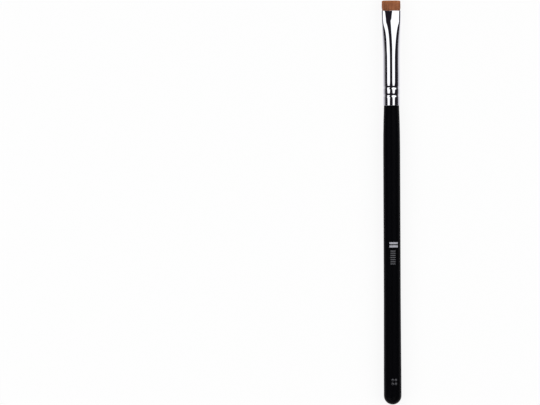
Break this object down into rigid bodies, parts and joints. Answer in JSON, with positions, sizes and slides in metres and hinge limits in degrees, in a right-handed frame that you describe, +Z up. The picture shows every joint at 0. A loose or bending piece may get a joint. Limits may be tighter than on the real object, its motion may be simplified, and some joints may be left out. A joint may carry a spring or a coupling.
{
  "type": "eyeshadow brush",
  "caption": "Flat eyeshadow brush: straight round black handle, chrome ferrule pressed flat at its mouth and ringed by crimps, short square-cut brown tuft.",
  "frame": {"origin": "on the surface the brush lies on, under the middle of its length", "axes": "+X along the brush from the round butt to the bristle tips, Y across the flat of the tuft, +Z up out of the flat face"},
  "size_m": [0.17, 0.0082, 0.0074],
  "materials": {
    "black_lacquer": "turned wood under satin black lacquer",
    "bright_plating": "bright polished plating",
    "clear_glue": "cured epoxy",
    "brown_bristle": "fine chestnut brown synthetic filament"
  },
  "bodies": {
    "root": {"handle": "black_lacquer", "ferrule": "bright_plating", "tenon_glue": "clear_glue", "root_glue": "clear_glue", "bristle_core": "brown_bristle", "outer_bristles": "brown_bristle"}
  },
  "joints": []
}
